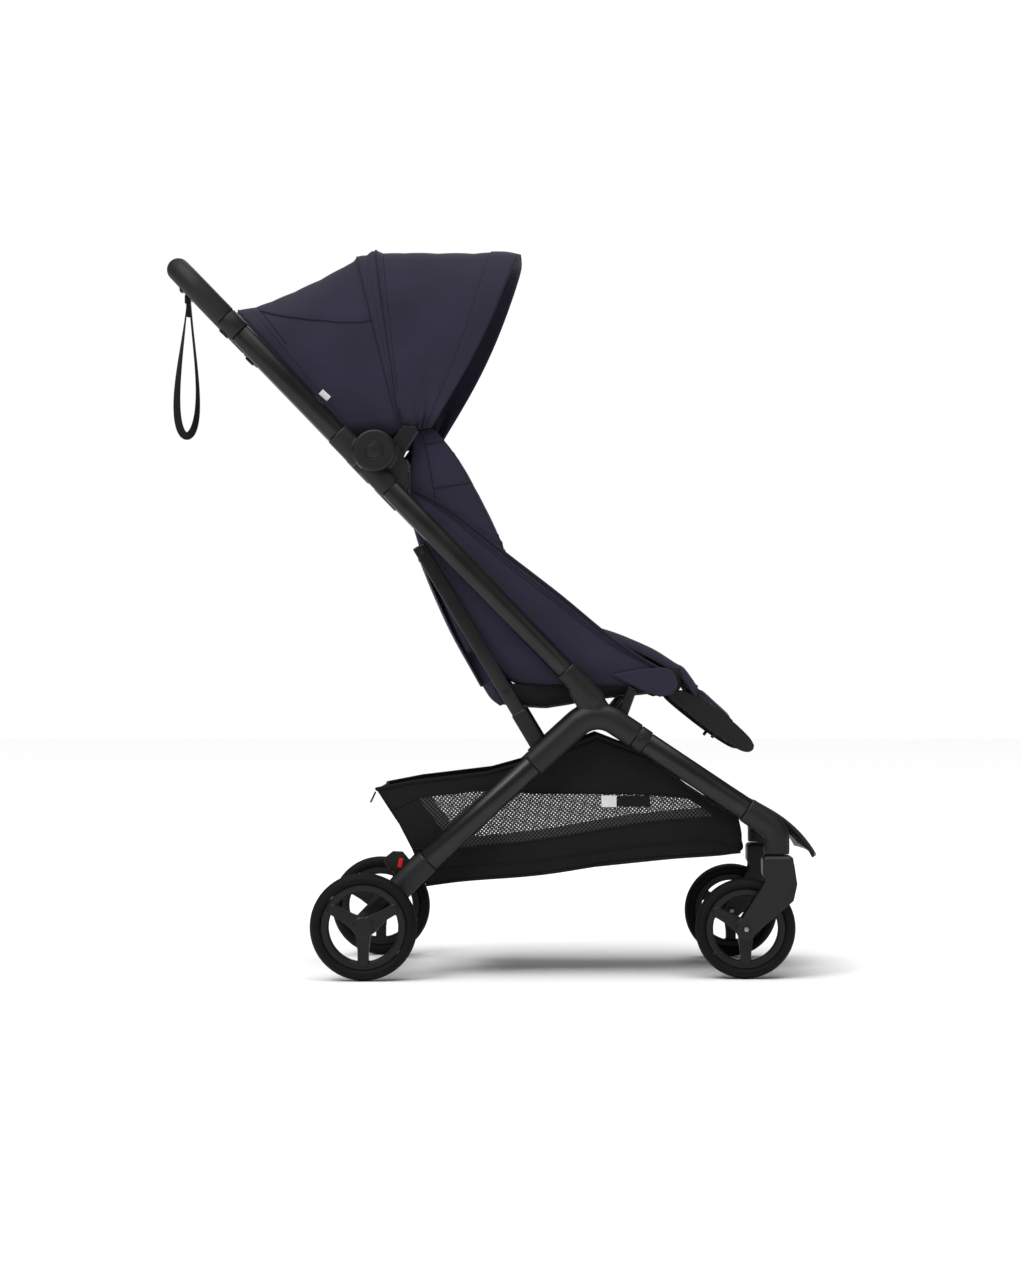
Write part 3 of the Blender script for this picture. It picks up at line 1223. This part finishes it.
def basket_tub():
    profile = smooth_path([(-0.172, 0.274), (-0.14, 0.225), (-0.112, 0.185), (-0.103, 0.138),
                           (-0.06, 0.139), (0.1, 0.1555), (0.25, 0.171), (0.352, 0.1805),
                           (0.361, 0.202), (0.356, 0.234)], 90)
    half = BASKET_HALF
    rows = []
    for x, z in profile:
        dip = 0.004 * math.sin(math.pi * min(max((x + 0.1) / 0.45, 0.0), 1.0))
        rows.append([(x, v * half, z - dip * (1 - v * v)) for v in np.linspace(-1, 1, 25)])
    edge = [(-0.172, y, 0.274 - 0.006 * (1 - (y / half) ** 2)) for y in np.linspace(-half, half, 24)]
    pull = [(-0.1735, -half + 0.001, 0.27), (-0.177, -half, 0.262), (-0.181, -half, 0.254)]
    made = place("basket_tub", [paint(thicken(grid(rows), 0.0016), BLACK_CLOTH),
                                paint(sweep(edge, 0.0026, 1.0, 10), BLACK_CLOTH),
                                paint(sweep(pull, 0.0013, 1.0, 8), WEBBING)], "frame")
    gather(made)


def kept_nodes():
    """CAD nodes whose shape is right as it is get the same materials as the rest."""
    for name, material in (("seat_rear_rail", METAL), ("seat_front_rail", METAL),
                           ("rear_axle_pin_left", STEEL), ("rear_axle_pin_right", STEEL)):
        paint(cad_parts[name], material)


# ---------------------------------------------------------------- stage


def put(name, data, at=(0.0, 0.0, 0.0), turn=(0.0, 0.0, 0.0)):
    thing = bpy.data.objects.new(name, data)
    thing.location, thing.rotation_euler = at, turn
    bpy.context.scene.collection.objects.link(thing)
    return thing


def stage():
    """A pale floor, soft light from above and in front, and the camera at the side."""
    floor = brick((40.0, 40.0, 0.02), (0.0, 0.0, -0.0104), 0.0, 0.002, 2)
    floor.name = "studio_floor"
    paint(floor, finish("floor_paint", (0.985, 0.985, 0.985), 0.7, {"Specular IOR Level": 0.1}))
    world = bpy.data.worlds.new("studio")
    world.use_nodes = True
    nodes, links = world.node_tree.nodes, world.node_tree.links
    nodes["Background"].inputs["Color"].default_value = (1.0, 1.0, 1.0, 1.0)
    path = nodes.new("ShaderNodeLightPath")
    strength = nodes.new("ShaderNodeMapRange")  # white to the camera, dim as a light
    strength.inputs["To Min"].default_value = 0.14
    strength.inputs["To Max"].default_value = 1.0
    links.new(path.outputs["Is Camera Ray"], strength.inputs["Value"])
    links.new(strength.outputs["Result"], nodes["Background"].inputs["Strength"])
    bpy.context.scene.world = world
    sun = bpy.data.lights.new("overhead", "SUN")  # a wide, soft light, even over the whole floor
    sun.energy = 3.15
    sun.angle = math.radians(70.0)
    put("overhead", sun, turn=(math.radians(14.0), math.radians(-8.0), 0.0))
    for name, at, size, power in (("key", (-1.6, -2.6, 2.9), 1.1, 34.0),
                                  ("fill", (2.6, -2.6, 1.6), 1.6, 8.0),
                                  ("rim", (0.4, 2.6, 2.6), 1.6, 20.0)):
        lamp = bpy.data.lights.new(name, "AREA")
        lamp.size, lamp.energy = size, power
        aim = Vector((0.0, 0.0, 0.4)) - Vector(at)
        put(name, lamp, at, aim.to_track_quat("-Z", "Y").to_euler())
    distance = 4.2
    view_height = 1.851  # how much of the near side's plane the picture's height covers
    lens = bpy.data.cameras.new("camera")
    lens.sensor_fit = "VERTICAL"
    lens.sensor_height = 36.0
    lens.lens = 36.0 * distance / view_height
    lens.shift_x, lens.shift_y = -0.0367, 0.0374
    camera = put("camera", lens, (0.0917, -SIDE_Y - 0.02 - distance, 0.42), (math.pi / 2, 0.0, 0.0))
    bpy.context.scene.camera = camera
    bpy.context.scene.view_settings.view_transform = "Standard"


stage()
for make in (tubes, knees, front_leg_ends, rear_leg_ends, hinges, handle, wrist_strap, struts,
             wheels, forks, front_apron, brake, canopy_front, canopy_rear, bows, clips,
             seat_sides, backrest, gussets, back_panel, seat_base, harness, leg_rest, seat_front,
             seat_corners, basket_sides, basket_tub, kept_nodes):
    make()
